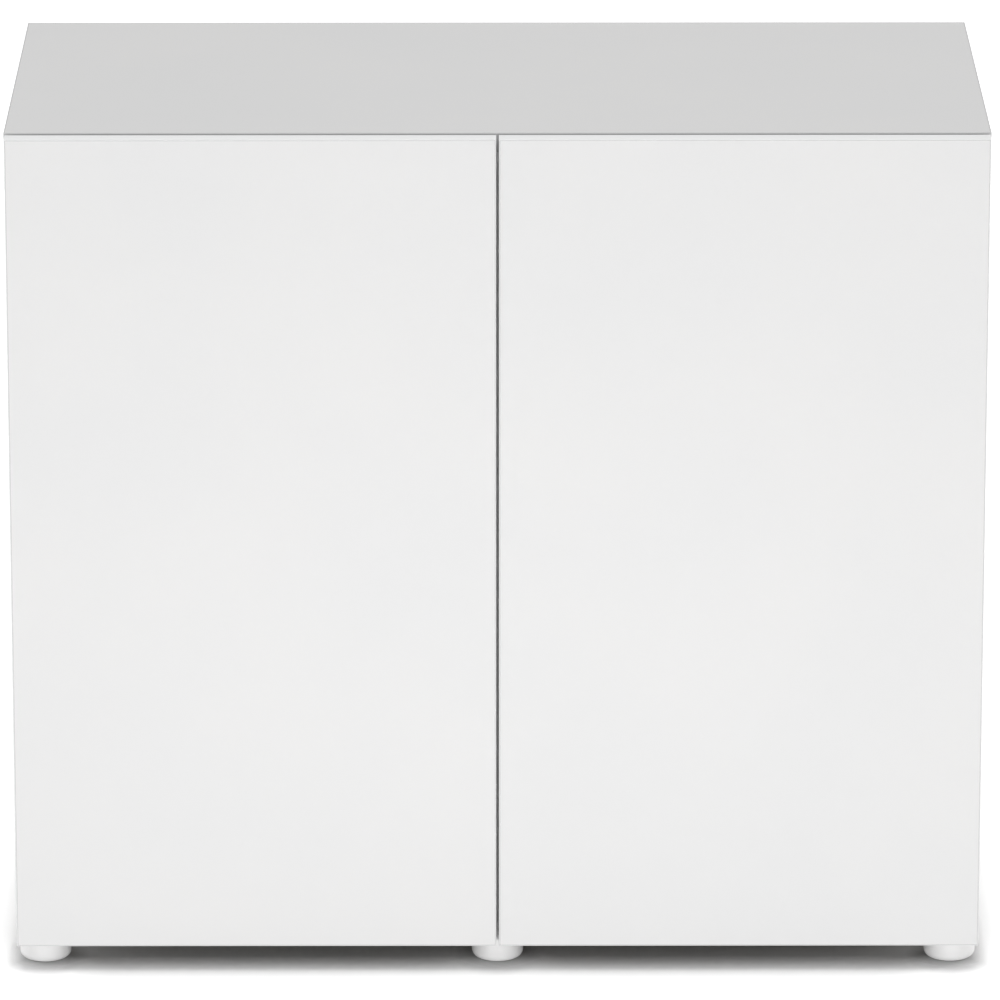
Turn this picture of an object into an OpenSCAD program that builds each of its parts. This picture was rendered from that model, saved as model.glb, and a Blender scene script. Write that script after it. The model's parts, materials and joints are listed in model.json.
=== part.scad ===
// Aquarium stand cabinet: a two-bay board carcass on six screw feet, closed by two
// handle-free doors that hang on concealed cup hinges and open with push latches.
// Millimetres, +Z up, the doors face -Y. The origin lies on the floor under the middle.
// Pieces that come in pairs are drawn on the left, where x is negative, and mirrored.

/* [Carcass] */
// Width across the two sides
cabinet_w = 900; // [760:10:1200]
// Depth of the carcass, without the doors
carcass_d = 450; // [400:10:600]
// Height of the carcass, without the feet
carcass_h = 776; // [740:2:900]
// Thickness of the carcass boards
board_t = 18; // [16:1:22]
// Rounding of the board edges
arris_r = 1; // [0.5:0.1:2]

/* [Doors] */
// Thickness of a door
door_t = 18; // [17:1:22]
// Gap between the two doors
door_gap = 2.5; // [2:0.5:5]
// Step from a side's outer face to the door's edge
side_reveal = 1.5; // [1:0.5:3]
// Step from the top and the underside of the carcass to the door's ends
end_reveal = 1; // [0.5:0.5:3]
// Gap between a door's back and the front of the carcass
door_standoff = 3; // [2.6:0.2:5]

/* [Back] */
// Thickness of the back panels
back_t = 8; // [5:1:12]
// Width of the rebate in each side that takes a back panel
rebate_w = 9; // [7:1:12]
// Play round a back panel
back_play = 0.5; // [0.2:0.1:1]
// Width of a hose port
port_w = 180; // [120:10:240]
// Height of a hose port
port_h = 70; // [50:5:100]
// Drop from the top panel to the middle of a port
port_drop = 110; // [80:10:160]
// Wall of the trim sleeve that lines a port
trim_wall = 3; // [2:0.5:5]
// Width of the trim's lip round the port
trim_lip = 9; // [5:1:15]
// Thickness of the trim's lip
trim_lip_t = 2; // [1:0.5:4]

/* [Shelves] */
// Thickness of a shelf
shelf_t = 18; // [16:1:22]
// Setback of a shelf behind the front of the carcass
shelf_setback = 30; // [20:5:60]
// Space behind a shelf for hoses and cables
shelf_rear_gap = 32; // [20:2:80]
// Play at each end of a shelf
shelf_play = 1; // [0.5:0.5:2]
// Diameter of a shelf pin
pin_d = 5; // [4:0.5:6]
// Depth of a shelf pin in its board
pin_in = 8; // [6:0.5:8.5]
// Length of the tongue that carries the shelf
tongue_l = 9; // [6:1:14]
// Width of the tongue
tongue_w = 10; // [7:1:14]
// Thickness of the tongue
tongue_t = 3; // [2:0.5:5]
// Rounding of the tongue's free corners
tongue_r = 3; // [1:0.5:3.5]
// Distance of the front line of holes from the front of the carcass
hole_line = 37; // [36:1:45]
// Distance of the rear line of holes from a shelf's rear edge
rear_line = 24; // [15:1:60]
// Spacing of the pin holes
hole_pitch = 32; // [25:1:40]
// Number of pin holes in a line
hole_rows = 8; // [5:1:8]
// Height of the lowest pin hole above the bottom panel
hole_first = 240; // [190:10:260]
// Row that carries the shelf, from the lowest
shelf_row = 4; // [1:1:4]

/* [Board fittings] */
// Diameter of a cam lock
cam_d = 15; // [12:0.5:18]
// Depth of the bore for a cam lock
cam_depth = 13; // [12:0.5:14]
// Distance from a board's end to the middle of a cam lock
cam_reach = 34; // [24:1:40]
// Length of the cross slot in a cam lock
cam_slot_l = 8; // [6:0.5:10]
// Width of that slot
cam_slot_w = 1.6; // [1:0.1:2]
// Depth of that slot
cam_slot_deep = 2.5; // [1.5:0.5:3.5]
// Distance of the cam locks from the front and back of the carcass
cam_inset = 80; // [70:5:100]
// Diameter of a cam bolt's shank
bolt_d = 6; // [5:0.5:7]
// Diameter of the bore along a board for a cam bolt
bolt_bore = 8; // [7.5:0.5:9]
// Diameter of a cam bolt's thread
bolt_thread_d = 5; // [4:0.5:5.5]
// Depth of a cam bolt's thread in the top or bottom panel
bolt_in = 11; // [8:1:13]
// Diameter of a dowel
dowel_d = 8; // [6:1:9]
// Length of a dowel
dowel_l = 30; // [25:1:40]
// Depth of a dowel in the top or bottom panel
dowel_in = 10; // [8:1:13]
// Chamfer on a dowel's ends
dowel_chamfer = 1; // [0.5:0.5:2]
// Distance from a cam lock to its dowel
dowel_step = 32; // [24:1:50]
// Diameter of the screws that hold the back
back_screw_d = 3; // [2.5:0.5:4]
// Length of the screws that hold the back
back_screw_l = 24; // [18:1:35]
// Number of screws in each upright edge of a back panel
back_screw_rows = 4; // [3:1:7]
// Distance of the end screws from the ends of the back
back_screw_end = 40; // [30:5:80]

/* [Hinges] */
// Distance from a door's end to the middle of its hinge
hinge_end = 100; // [85:5:120]
// Diameter of the bore in the door for a hinge cup
cup_d = 35; // [34:0.5:38]
// Depth of a hinge cup in the door
cup_depth = 12.5; // [12:0.5:14]
// Board left between the door's edge and the cup
cup_tab = 3; // [2.6:0.2:3.2]
// Wall of a hinge cup
cup_wall = 0.8; // [0.5:0.1:0.9]
// Thickness of the cup's flange on the door
cup_flange_t = 1; // [0.8:0.1:1.2]
// Width of the rim round the cup's mouth
cup_rim = 1; // [0.6:0.2:1.2]
// Spacing of a cup's two screws
cup_screw_span = 48; // [45:1:56]
// Offset of a cup's screws from its middle, away from the door's edge
cup_screw_shift = 6; // [4:0.5:9]
// Diameter of a cup's screw ears
cup_ear_d = 12; // [10:0.5:14]
// Diameter of a cup's screws
cup_screw_d = 3.5; // [3:0.5:4]
// Length of a cup's screws
cup_screw_l = 14; // [11:1:16]
// Distance of the hinge pin from the door's edge
pivot_in = 6.8; // [6.6:0.1:7]
// Distance of the hinge pin from the door's back
pivot_deep = 8; // [7.6:0.1:8.4]
// Diameter of a hinge pin
hinge_pin_d = 2.5; // [2:0.1:2.6]
// Length of a hinge pin
hinge_pin_l = 18; // [15:0.5:18]
// Wall of the eye round a hinge pin
eye_wall = 0.8; // [0.6:0.1:0.9]
// Width of the hinge arm's neck and eye
neck_w = 9; // [6:0.5:9]
// Outer radius of the bend in the neck
neck_bend = 5; // [3:0.5:8]
// Thickness of the hinge arm's metal
arm_t = 2; // [1.5:0.1:2.2]
// Width of the hinge arm's channel
arm_w = 18; // [16:1:20]
// Thickness of the channel's flanges
arm_flange_t = 1.5; // [1:0.1:2]
// Distance from the front of the carcass to the channel
arm_front = 8; // [4:1:12]
// Distance from the front of the carcass to the rear of the channel
arm_back = 64; // [58:1:75]
// Length of the tapered shoulder between the neck and the channel
arm_shoulder = 6; // [3:1:8]
// Rounding of the channel's rear corners
arm_corner = 3; // [1:0.5:4]
// Slant of the flanges' front ends
arm_rake = 3; // [1:0.5:4]
// Height of the mounting plate's rail above the side
rail_h = 5.5; // [4.5:0.5:7]
// Distance of the rail's two ends inside the channel's ends
rail_inset = 4; // [2:1:6]
// Slope at the rail's ends, which guides the arm on
rail_slope = 2; // [1:0.5:3]
// Thickness of the mounting plate's wings
plate_t = 2; // [1.5:0.5:3]
// Width of the mounting plate's wings
plate_w = 14; // [12:1:18]
// Spacing of a mounting plate's two screws
plate_span = 32; // [30:1:40]
// Diameter of a mounting plate's screws
plate_screw_d = 5; // [4:0.5:5.5]
// Depth of those screws in the side
plate_screw_in = 11; // [8:1:13]
// Diameter of the screws through the hinge arm
arm_screw_d = 5; // [4:0.5:6]
// Distance of the clamping and adjusting screws from the channel's ends
arm_screw_end = 11; // [9:1:14]

/* [Push latches] */
// Drop from the top panel to a latch
latch_drop = 60; // [50:5:90]
// Width and height of a latch housing
latch_w = 17; // [16:0.5:22]
// Distance from the front of the carcass to a latch housing
latch_setback = 6; // [5:1:12]
// Length of a latch housing
latch_l = 62; // [55:1:80]
// Rounding of a latch housing's edges
latch_r = 3; // [1:0.5:5]
// Diameter of a plunger
plunger_d = 9; // [7:0.5:10]
// Diameter of a plunger's collar
collar_d = 11.4; // [10.8:0.2:12]
// Length of a plunger's collar
collar_l = 5; // [3:0.5:8]
// Length of the plunger inside the housing
plunger_in = 20; // [15:1:25]
// Diameter of the magnet in a plunger's tip
magnet_d = 6; // [4:0.5:6.5]
// Length of that magnet
magnet_l = 4; // [3:0.5:8]
// Wall of the housing in front of the collar
latch_nose = 4; // [3:0.5:6]
// Wall of the housing behind the spring
latch_end = 4; // [3:0.5:6]
// Diameter of the latch spring's wire
spring_wire = 1; // [0.8:0.1:1.2]
// Number of turns of the latch spring
spring_turns = 8; // [6:1:10]
// Gap between a plunger and its strike plate
strike_gap = 0.2; // [0.1:0.1:0.4]
// Diameter of a strike plate
strike_d = 20; // [16:1:24]
// Thickness of a strike plate
strike_t = 1.5; // [1:0.1:2]
// Width of a latch's screw ears
latch_ear_w = 12; // [10:1:16]
// Thickness of a latch's screw ears
latch_ear_t = 2.5; // [2:0.5:4]
// Diameter of the small screws for latches and strike plates
small_screw_d = 3; // [2.5:0.5:3.5]
// Length of the small screws
small_screw_l = 8; // [6:0.5:10]

/* [Feet] */
// Diameter of a foot
foot_d = 48; // [36:1:50]
// Height of a foot, screwed right in
foot_h = 24; // [12:1:40]
// Distance from the carcass's edges to the middle of a foot
foot_inset = 26; // [26:1:40]
// Rounding of a foot's lower edge
foot_r = 7; // [1:0.5:8]
// Diameter of a foot's stud
stud_d = 10; // [8:0.5:12]
// Length of a foot's stud in the bottom panel
stud_l = 14; // [10:0.5:15]
// Diameter of the threaded insert for a stud
insert_d = 15; // [14:0.5:18]
// Length of a threaded insert
insert_l = 12; // [8:0.5:14]

/* [Fits] */
// Clearance round a screw, bolt, dowel or cup in its bore
fit = 0.1; // [0.05:0.01:0.2]
// Clearance round a hinge pin in its eye
pin_fit = 0.05; // [0.03:0.01:0.08]
// Clearance round a sliding plunger or stud
slide_fit = 0.3; // [0.2:0.05:0.4]

/* [Hidden] */
$fn = 64;

// Places in the cabinet
half_w = cabinet_w / 2;
depth_all = carcass_d + door_standoff + door_t;
back_y = depth_all / 2;
front_y = back_y - carcass_d;
top_z = foot_h + carcass_h;
inner_z0 = foot_h + board_t;
inner_z1 = top_z - board_t;
inner_h = inner_z1 - inner_z0;
inner_x = half_w - board_t;
bay_w = inner_x - board_t / 2;
bay_x = board_t / 2 + bay_w / 2;
back_in_y = back_y - back_t;
uprights_x = [-half_w + board_t / 2, 0, half_w - board_t / 2];

// Doors
door_w = half_w - side_reveal - door_gap / 2;
door_h = carcass_h - 2 * end_reveal;
door_z0 = foot_h + end_reveal;
door_back_y = front_y - door_standoff;
hinge_zs = [door_z0 + hinge_end, door_z0 + door_h - hinge_end];

// Shelves and their holes
shelf_y0 = front_y + shelf_setback;
shelf_y1 = back_in_y - shelf_rear_gap;
hole_ys = [front_y + hole_line, shelf_y1 - rear_line];
hole_z0 = inner_z0 + hole_first;
shelf_z = hole_z0 + shelf_row * hole_pitch + tongue_t / 2;

// Board fittings
cam_ys = [front_y + cam_inset, back_y - cam_inset];
dowel_ys = [cam_ys[0] + dowel_step, cam_ys[1] - dowel_step];
back_screw_xs = [-inner_x - rebate_w / 2, -board_t / 4];
back_screw_step = (inner_h - 2 * back_screw_end) / (back_screw_rows - 1);

// Hinges, measured from a side's outer face and the front of the carcass
cup_u = side_reveal + cup_tab + cup_d / 2;
pivot_u = side_reveal + pivot_in;
pivot_v = -door_standoff - pivot_deep;
eye_r = hinge_pin_d / 2 + pin_fit + eye_wall;
neck_v = pivot_v - eye_r;
leg_u = board_t + rail_h;
clamp_v = arm_back - arm_screw_end;
adjust_v = arm_front + arm_screw_end;
flange_u = board_t + plate_t + slide_fit;

// Latches, measured from the divider's face and the front of the carcass
latch_z = inner_z1 - latch_drop;
latch_a = latch_w / 2;
latch_x = -board_t / 2 - latch_a;
latch_ear_z = latch_w / 2 + latch_ear_w / 2;
chamber_v0 = latch_setback + latch_nose;
chamber_v1 = latch_setback + latch_l - latch_end;
chamber_d = collar_d + 2 * slide_fit;
collar_v = chamber_v0 + slide_fit;
tip_v = -door_standoff + strike_t + strike_gap;
spring_v0 = latch_setback + plunger_in;
spring_l = chamber_v1 - spring_v0;
spring_r = (plunger_d - spring_wire) / 2 - spring_wire;

// Rings in one turn of a coil's tube
turn_rings = 8;

// Feet
foot_x = half_w - foot_inset;
foot_front_y = front_y + foot_inset;
foot_rear_y = back_y - foot_inset;
foot_places = [
    for (x = [-foot_x, 0, foot_x], y = [foot_front_y, foot_rear_y]) [x, y]
];

// Colours
white_board = [0.93, 0.93, 0.92];
grey_board = [0.80, 0.80, 0.80];
white_plastic = [0.96, 0.96, 0.95];
black_plastic = [0.10, 0.10, 0.11];
nickel = [0.72, 0.72, 0.73];
zinc = [0.62, 0.63, 0.65];
beech = [0.80, 0.65, 0.45];

// General shapes

// Draws its children on the left, or mirrored on the right
module on_side(right) {
    if (right)
        mirror([1, 0, 0]) children();
    else
        children();
}

// A round bar along +X from a point
module bar_x(at, d, l) {
    translate(at)
        rotate([0, 90, 0])
            cylinder(d = d, h = l);
}

// A round bar along +Y from a point
module bar_y(at, d, l) {
    translate(at)
        rotate([-90, 0, 0])
            cylinder(d = d, h = l);
}

// A flat outline with round corners
module rounded_rect(w, h, r) {
    translate([r, 0])
        square([w - 2 * r, h]);
    translate([0, r])
        square([w, h - 2 * r]);
    for (x = [r, w - r], y = [r, h - r])
        translate([x, y])
            circle(r = r);
}

// A flat outline with half-round ends, round the origin
module oblong(w, h) {
    square([w - h, h], center = true);
    for (x = [-(w - h) / 2, (w - h) / 2])
        translate([x, 0])
            circle(d = h);
}

// A board whose edges are eased all round
module eased_board(w, d, h) {
    intersection() {
        linear_extrude(h)
            rounded_rect(w, d, arris_r);
        rotate([90, 0, 90])
            linear_extrude(w)
                rounded_rect(d, h, arris_r);
    }
}

// A board standing on its end, with its upright edges eased
module upright_board(w, d, h) {
    linear_extrude(h)
        rounded_rect(w, d, arris_r);
}

// A countersunk screw along -Z, with its head's face at the origin
module countersunk(d, l, grow = 0) {
    head_d = 2 * d;
    translate([0, 0, -d / 2])
        cylinder(d1 = d + 2 * grow, d2 = head_d + 2 * grow, h = d / 2);
    translate([0, 0, -l - grow])
        cylinder(d = d + 2 * grow, h = l + grow - d / 4);
}

// Carcass

// Bores along +Z for the bolts and dowels in a top or bottom panel
module panel_bores(bolt_z, dowel_z) {
    for (x = uprights_x) {
        for (y = cam_ys)
            translate([x, y, bolt_z - fit])
                cylinder(d = bolt_thread_d + 2 * fit, h = bolt_in + 2 * fit);
        for (y = dowel_ys)
            translate([x, y, dowel_z - fit])
                cylinder(d = dowel_d + 2 * fit, h = dowel_in + 2 * fit);
    }
}

module top_panel() {
    color(grey_board)
        difference() {
            translate([-half_w, front_y, inner_z1])
                eased_board(cabinet_w, carcass_d, board_t);
            panel_bores(inner_z1, inner_z1);
        }
}

module bottom_panel() {
    color(white_board)
        difference() {
            translate([-half_w, front_y, foot_h])
                eased_board(cabinet_w, carcass_d, board_t);
            panel_bores(inner_z0 - bolt_in, inner_z0 - dowel_in);
            for (p = foot_places)
                translate([p.x, p.y, foot_h - fit]) {
                    cylinder(d = insert_d + 2 * fit, h = insert_l + 2 * fit);
                    cylinder(d = stud_d + 2 * slide_fit, h = stud_l + slide_fit + fit);
                }
        }
}

// Bores for cam locks, bolts and dowels in an upright whose middle is at x, where
// the cam locks are let into the face at face_x and go in along +X or -X
module upright_bores(x, face_x, inward) {
    for (y = cam_ys, up = [0, 1]) {
        z_end = up ? inner_z1 : inner_z0;
        z_cam = up ? inner_z1 - cam_reach : inner_z0 + cam_reach;
        bar_x([inward > 0 ? face_x - fit : face_x - cam_depth, y, z_cam],
              cam_d + 2 * fit, cam_depth + fit);
        translate([x, y, min(z_end, z_cam) - fit])
            cylinder(d = bolt_bore, h = cam_reach + 2 * fit);
    }
    for (y = dowel_ys, up = [0, 1]) {
        dowel_z = up ? inner_z1 - dowel_l + dowel_in - fit : inner_z0 - fit;
        translate([x, y, dowel_z])
            cylinder(d = dowel_d + 2 * fit, h = dowel_l - dowel_in + 2 * fit);
    }
}

// Lines of pin holes that enter a board at x and run along +X
module pin_holes(x, l) {
    for (y = hole_ys, i = [0:hole_rows - 1])
        bar_x([x, y, hole_z0 + i * hole_pitch], pin_d + 2 * fit, l);
}

// The left side, which the right side mirrors
module side_board() {
    pin_depth = pin_in + 2 * fit;
    difference() {
        translate([-half_w, front_y, inner_z0])
            upright_board(board_t, carcass_d, inner_h);
        translate([-inner_x - rebate_w, back_in_y, inner_z0 - fit])
            cube([rebate_w + fit, back_t + fit, inner_h + 2 * fit]);
        upright_bores(uprights_x[0], -inner_x, -1);
        pin_holes(-inner_x - pin_depth, pin_depth + fit);
        hinge_places()
            plate_screw_places()
                countersunk(plate_screw_d, plate_screw_in + plate_t, fit);
        back_screw_bores();
    }
}

module left_side() {
    color(white_board)
        side_board();
}

module right_side() {
    color(white_board)
        on_side(true) side_board();
}

module centre_divider() {
    color(white_board)
        difference() {
            translate([-board_t / 2, front_y, inner_z0])
                upright_board(board_t, carcass_d - back_t, inner_h);
            upright_bores(0, board_t / 2, -1);
            pin_holes(-board_t / 2 - fit, board_t + 2 * fit);
            for (right = [false, true])
                on_side(right) {
                    back_screw_bores();
                    latch_screw_places(-fit)
                        cylinder(d = small_screw_d + 2 * fit, h = small_screw_l + 2 * fit);
                }
        }
}

// Places of the back's screws, with +Z pointing back out of the cabinet
module back_screw_places() {
    for (x = back_screw_xs, i = [0:back_screw_rows - 1])
        translate([x, back_y, inner_z0 + back_screw_end + i * back_screw_step])
            rotate([-90, 0, 0])
                children();
}

module back_screw_bores() {
    back_screw_places()
        countersunk(back_screw_d, back_screw_l, fit);
}

// The left back panel, with its hose port
module back_panel() {
    w = inner_x + rebate_w - 1.5 * back_play;
    difference() {
        translate([-inner_x - rebate_w + back_play, back_in_y, inner_z0 + back_play])
            cube([w, back_t, inner_h - 2 * back_play]);
        at_port(back_in_y - fit)
            linear_extrude(back_t + 2 * fit)
                oblong(port_w, port_h);
        back_screw_bores();
    }
}

// Places its children on the left port, with +Z pointing back out of the cabinet
module at_port(y) {
    translate([-bay_x, y, inner_z1 - port_drop])
        rotate([-90, 0, 0])
            children();
}

module left_back_panel() {
    color(white_board)
        back_panel();
}

module right_back_panel() {
    color(white_board)
        on_side(true) back_panel();
}

// Sleeve and lip that line the left port from inside the cabinet
module port_trim() {
    sleeve_w = port_w - 2 * fit;
    sleeve_h = port_h - 2 * fit;
    at_port(back_in_y - trim_lip_t)
        difference() {
            union() {
                linear_extrude(trim_lip_t)
                    oblong(port_w + 2 * trim_lip, port_h + 2 * trim_lip);
                linear_extrude(trim_lip_t + back_t)
                    oblong(sleeve_w, sleeve_h);
            }
            translate([0, 0, -fit])
                linear_extrude(trim_lip_t + back_t + 2 * fit)
                    oblong(sleeve_w - 2 * trim_wall, sleeve_h - 2 * trim_wall);
        }
}

module left_port_trim() {
    color(black_plastic)
        port_trim();
}

module right_port_trim() {
    color(black_plastic)
        on_side(true) port_trim();
}

module back_screws() {
    color(zinc)
        for (right = [false, true])
            on_side(right)
                back_screw_places()
                    countersunk(back_screw_d, back_screw_l);
}

// Shelves

module shelf_board() {
    translate([-inner_x + shelf_play, shelf_y0, shelf_z])
        eased_board(bay_w - 2 * shelf_play, shelf_y1 - shelf_y0, shelf_t);
}

module left_shelf() {
    color(white_board)
        shelf_board();
}

module right_shelf() {
    color(white_board)
        on_side(true) shelf_board();
}

// A pin along +X from the face of its board, with the flat tongue under the shelf
module shelf_pin() {
    bar_x([-pin_in, 0, 0], pin_d, pin_in);
    translate([0, -tongue_w / 2, -tongue_t / 2])
        linear_extrude(tongue_t) {
            square([tongue_l - tongue_r, tongue_w]);
            rounded_rect(tongue_l, tongue_w, tongue_r);
        }
}

module shelf_pins() {
    color(nickel)
        for (right = [false, true], y = hole_ys)
            on_side(right) {
                z = hole_z0 + shelf_row * hole_pitch;
                translate([-inner_x, y, z])
                    shelf_pin();
                translate([-board_t / 2, y, z])
                    mirror([1, 0, 0]) shelf_pin();
            }
}

// Cam locks, bolts and dowels

// A cam lock along -X from its board's face, with a way in for the bolt along -Z
module cam_lock() {
    difference() {
        bar_x([-cam_depth + fit, 0, 0], cam_d, cam_depth - fit);
        translate([-board_t / 2, 0, -cam_d])
            cylinder(d = bolt_bore, h = cam_d + bolt_bore / 2);
        translate([-cam_slot_deep, -cam_slot_w / 2, -cam_slot_l / 2])
            cube([cam_slot_deep + fit, cam_slot_w, cam_slot_l]);
        translate([-cam_slot_deep, -cam_slot_l / 2, -cam_slot_w / 2])
            cube([cam_slot_deep + fit, cam_slot_l, cam_slot_w]);
    }
}

// Places each upright's cam locks, with -Z pointing to the nearer panel
module cam_places() {
    for (face_x = [-inner_x, board_t / 2], y = cam_ys, up = [0, 1])
        cam_place(face_x, y, up)
            children();
    for (y = cam_ys, up = [0, 1])
        mirror([1, 0, 0])
            cam_place(-inner_x, y, up)
                children();
}

module cam_place(face_x, y, up) {
    translate([face_x, y, up ? inner_z1 - cam_reach : inner_z0 + cam_reach])
        mirror([0, 0, up])
            children();
}

module cam_locks() {
    color(zinc)
        cam_places() cam_lock();
}

// A bolt from the middle of its cam lock down into the panel
module cam_bolt() {
    head_l = bolt_d / 2;
    translate([-board_t / 2, 0, 0]) {
        translate([0, 0, -head_l])
            cylinder(d = bolt_bore - 2 * fit, h = head_l);
        translate([0, 0, -cam_reach])
            cylinder(d = bolt_d, h = cam_reach);
        translate([0, 0, -cam_reach - bolt_in])
            cylinder(d = bolt_thread_d, h = bolt_in + fit);
    }
}

module cam_bolts() {
    color(zinc)
        cam_places() cam_bolt();
}

// A dowel with chamfered ends, turned from its outline
module dowel() {
    r = dowel_d / 2;
    end_r = r - dowel_chamfer;
    rotate_extrude()
        polygon([
            [0, 0], [end_r, 0], [r, dowel_chamfer],
            [r, dowel_l - dowel_chamfer], [end_r, dowel_l], [0, dowel_l]
        ]);
}

module dowels() {
    color(beech)
        for (x = uprights_x, y = dowel_ys, z = [inner_z0 - dowel_in, inner_z1 + dowel_in - dowel_l])
            translate([x, y, z])
                dowel();
}

// Hinges

// Places its children at each of the left hinges: +X in from the side's outer face,
// +Y back from the front of the carcass
module hinge_places() {
    for (z = hinge_zs)
        translate([-half_w, front_y, z])
            children();
}

// The mounting plate's rail from above, with sloped ends
module rail_outline() {
    rail_front = arm_front + rail_inset;
    rail_back = arm_back - rail_inset;
    polygon([
        [board_t, rail_front], [board_t + rail_h, rail_front + rail_slope],
        [board_t + rail_h, rail_back - rail_slope], [board_t, rail_back]
    ]);
}

// Rail and two wings that are screwed to the side
module hinge_plate() {
    rail_w = arm_w - 2 * arm_flange_t - 2 * slide_fit;
    difference() {
        union() {
            translate([0, 0, -rail_w / 2])
                linear_extrude(rail_w)
                    rail_outline();
            translate([board_t, hole_line, 0])
                rotate([90, 0, 90])
                    linear_extrude(plate_t)
                        rotate(90) oblong(plate_span + plate_w, plate_w);
        }
        plate_screw_places()
            countersunk(plate_screw_d, plate_screw_in + plate_t, fit);
        for (v = [clamp_v, adjust_v])
            bar_x([board_t - fit, v, 0], arm_screw_d + 2 * fit, rail_h + 2 * fit);
    }
}

// Places the screws of a mounting plate, with +Z pointing off the side
module plate_screw_places() {
    for (dz = [-plate_span / 2, plate_span / 2])
        translate([board_t + plate_t, hole_line, dz])
            rotate([0, 90, 0])
                children();
}

module hinge_plates() {
    color(nickel)
        for (right = [false, true])
            on_side(right)
                hinge_places() hinge_plate();
}

module plate_screws() {
    color(zinc)
        for (right = [false, true])
            on_side(right)
                hinge_places()
                    plate_screw_places()
                        countersunk(plate_screw_d, plate_screw_in + plate_t);
}

// The arm's neck from above: an eye on the pin, a run in the cup, a bend and a leg
module neck_outline() {
    bend_u = leg_u + arm_t - neck_bend;
    bend_v = neck_v + neck_bend;
    translate([pivot_u, pivot_v])
        circle(r = eye_r);
    translate([pivot_u, neck_v])
        square([bend_u - pivot_u, arm_t]);
    translate([bend_u, bend_v])
        intersection() {
            difference() {
                circle(r = neck_bend);
                circle(r = neck_bend - arm_t);
            }
            translate([0, -neck_bend])
                square(neck_bend);
        }
    translate([leg_u, bend_v])
        square([arm_t, arm_front - bend_v]);
}

// The arm's web from inside the bay: tapered shoulders, round rear corners, a hole for the
// adjusting screw and a slot, open to the rear, that slides under the clamping screw
module web_outline() {
    hole_d = arm_screw_d + 2 * fit;
    difference() {
        union() {
            polygon([
                [arm_front - arm_shoulder, -neck_w / 2], [arm_front, -arm_w / 2],
                [arm_front, arm_w / 2], [arm_front - arm_shoulder, neck_w / 2]
            ]);
            translate([arm_front, -arm_w / 2]) {
                square([arm_back - arm_front - arm_corner, arm_w]);
                rounded_rect(arm_back - arm_front, arm_w, arm_corner);
            }
        }
        for (v = [clamp_v, adjust_v])
            translate([v, 0])
                circle(d = hole_d);
        translate([clamp_v, -hole_d / 2])
            square([arm_screw_end + fit, hole_d]);
    }
}

// One of the channel's flanges from above, which stops short of the web's round corners
module flange_outline() {
    flange_back = arm_back - arm_corner;
    polygon([
        [leg_u + arm_t, arm_front], [leg_u + arm_t, flange_back],
        [flange_u, flange_back], [flange_u, arm_front + arm_rake]
    ]);
}

// Neck and channel of a hinge arm, which slides over the plate's rail
module hinge_arm() {
    difference() {
        union() {
            translate([0, 0, -neck_w / 2])
                linear_extrude(neck_w)
                    neck_outline();
            translate([leg_u, 0, 0])
                rotate([90, 0, 90])
                    linear_extrude(arm_t)
                        web_outline();
            for (z = [-arm_w / 2, arm_w / 2 - arm_flange_t])
                translate([0, 0, z])
                    linear_extrude(arm_flange_t)
                        flange_outline();
        }
        translate([pivot_u, pivot_v, -neck_w / 2 - fit])
            cylinder(d = hinge_pin_d + 2 * pin_fit, h = neck_w + 2 * fit);
    }
}

module hinge_arms() {
    color(nickel)
        for (right = [false, true])
            on_side(right)
                hinge_places() hinge_arm();
}

// A clamping screw and an adjusting screw through the arm into the rail
module arm_screws() {
    head_d = 1.7 * arm_screw_d;
    head_l = 0.4 * arm_screw_d;
    color(zinc)
        for (right = [false, true])
            on_side(right)
                hinge_places()
                    for (v = [clamp_v, adjust_v]) {
                        bar_x([board_t + fit, v, 0], arm_screw_d, rail_h + arm_t);
                        bar_x([leg_u + arm_t, v, 0], head_d, head_l);
                    }
}

// Flat outline of a cup's flange: a rim round the mouth and a bar with two ears
module cup_flange_outline() {
    translate([cup_u, 0])
        circle(d = cup_d + 2 * cup_rim);
    translate([cup_u + cup_screw_shift, 0])
        rotate(90) oblong(cup_screw_span + cup_ear_d, cup_ear_d);
}

// Turns X and Y into the door's plane, with +Z pointing into the door from its back
module in_door_plane() {
    translate([0, -door_standoff, 0])
        rotate([90, 0, 0])
            children();
}

// A cup let into the door, open to the back, with holes for the hinge pin
module hinge_cup() {
    difference() {
        in_door_plane() {
            translate([0, 0, -cup_flange_t])
                linear_extrude(cup_flange_t)
                    cup_flange_outline();
            translate([cup_u, 0, -cup_flange_t])
                cylinder(d = cup_d - 2 * fit, h = cup_flange_t + cup_depth);
        }
        in_door_plane()
            translate([cup_u, 0, -cup_flange_t - fit])
                cylinder(d = cup_d - 2 * fit - 2 * cup_wall,
                         h = cup_flange_t + cup_depth - cup_wall + fit);
        hinge_pin(pin_fit);
        cup_screw_places()
            countersunk(cup_screw_d, cup_screw_l, fit);
    }
}

// Places a cup's screws, with +Z pointing out of the door's back
module cup_screw_places() {
    for (z = [-cup_screw_span / 2, cup_screw_span / 2])
        translate([cup_u + cup_screw_shift, -door_standoff + cup_flange_t, z])
            rotate([-90, 0, 0])
                children();
}

module hinge_pin(grow = 0) {
    l = hinge_pin_l + 2 * grow;
    translate([pivot_u, pivot_v, -l / 2])
        cylinder(d = hinge_pin_d + 2 * grow, h = l);
}

module left_hinge_cups() {
    color(nickel)
        hinge_places() hinge_cup();
}

module right_hinge_cups() {
    color(nickel)
        on_side(true)
            hinge_places() hinge_cup();
}

module cup_screws(right) {
    color(zinc)
        on_side(right)
            hinge_places()
                cup_screw_places()
                    countersunk(cup_screw_d, cup_screw_l);
}

module left_cup_screws() {
    cup_screws(false);
}

module right_cup_screws() {
    cup_screws(true);
}

module left_hinge_pins() {
    color(zinc)
        hinge_places() hinge_pin();
}

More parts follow.
